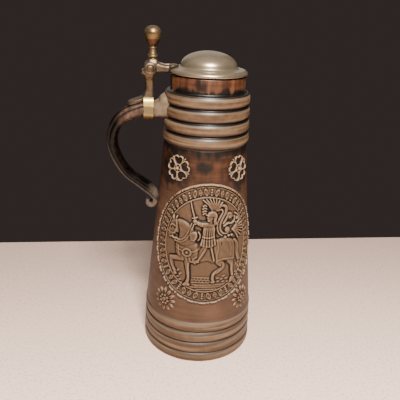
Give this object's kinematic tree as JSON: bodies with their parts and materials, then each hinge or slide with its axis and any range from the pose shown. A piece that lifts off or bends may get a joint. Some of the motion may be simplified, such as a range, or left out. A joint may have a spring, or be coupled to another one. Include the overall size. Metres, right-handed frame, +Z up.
{
  "type": "lidded beer stein",
  "caption": "Tall tapering stoneware beer stein with ring bands, applied reliefs, strap handle and a hinged domed metal lid with a turned thumblift.",
  "frame": {"origin": "centre of the flat base, where the turning axis meets the surface the stein stands on", "axes": "+Z up along the turning axis, handle along -X, the main relief faces -Y"},
  "size_m": [0.1419, 0.1084, 0.3019],
  "materials": {
    "stoneware_glaze": "glossy brown salt glaze with tan ring bands",
    "handle_glaze": "glossy dark brown glaze, lighter on the edges",
    "relief_clay": "tan relief with dark glaze in its hollows",
    "pewter": "satin grey pewter",
    "hinge_metal": "worn bronze-toned metal",
    "bright_brass": "polished brass"
  },
  "bodies": {
    "stein": {"stein_body": "stoneware_glaze", "handle": "handle_glaze", "medallion_front": "relief_clay", "medallion_back": "relief_clay", "rose_front_left": "relief_clay", "rose_front_right": "relief_clay", "rose_back_left": "relief_clay", "rose_back_right": "relief_clay", "daisy_front_left": "relief_clay", "daisy_front_right": "relief_clay", "daisy_back_left": "relief_clay", "daisy_back_right": "relief_clay", "clamp_band": "bright_brass", "hinge_bracket": "hinge_metal", "hinge_pin": "hinge_metal"},
    "lid": {"lid": "pewter", "lid_arm": "hinge_metal", "thumblift": "bright_brass"}
  },
  "joints": [
    {"name": "lid_hinge", "type": "hinge", "parent": "stein", "child": "lid", "pos_m": [-0.0498, 0, 0.2683], "axis": [0, -1, 0], "range_deg": [0, 95]}
  ]
}
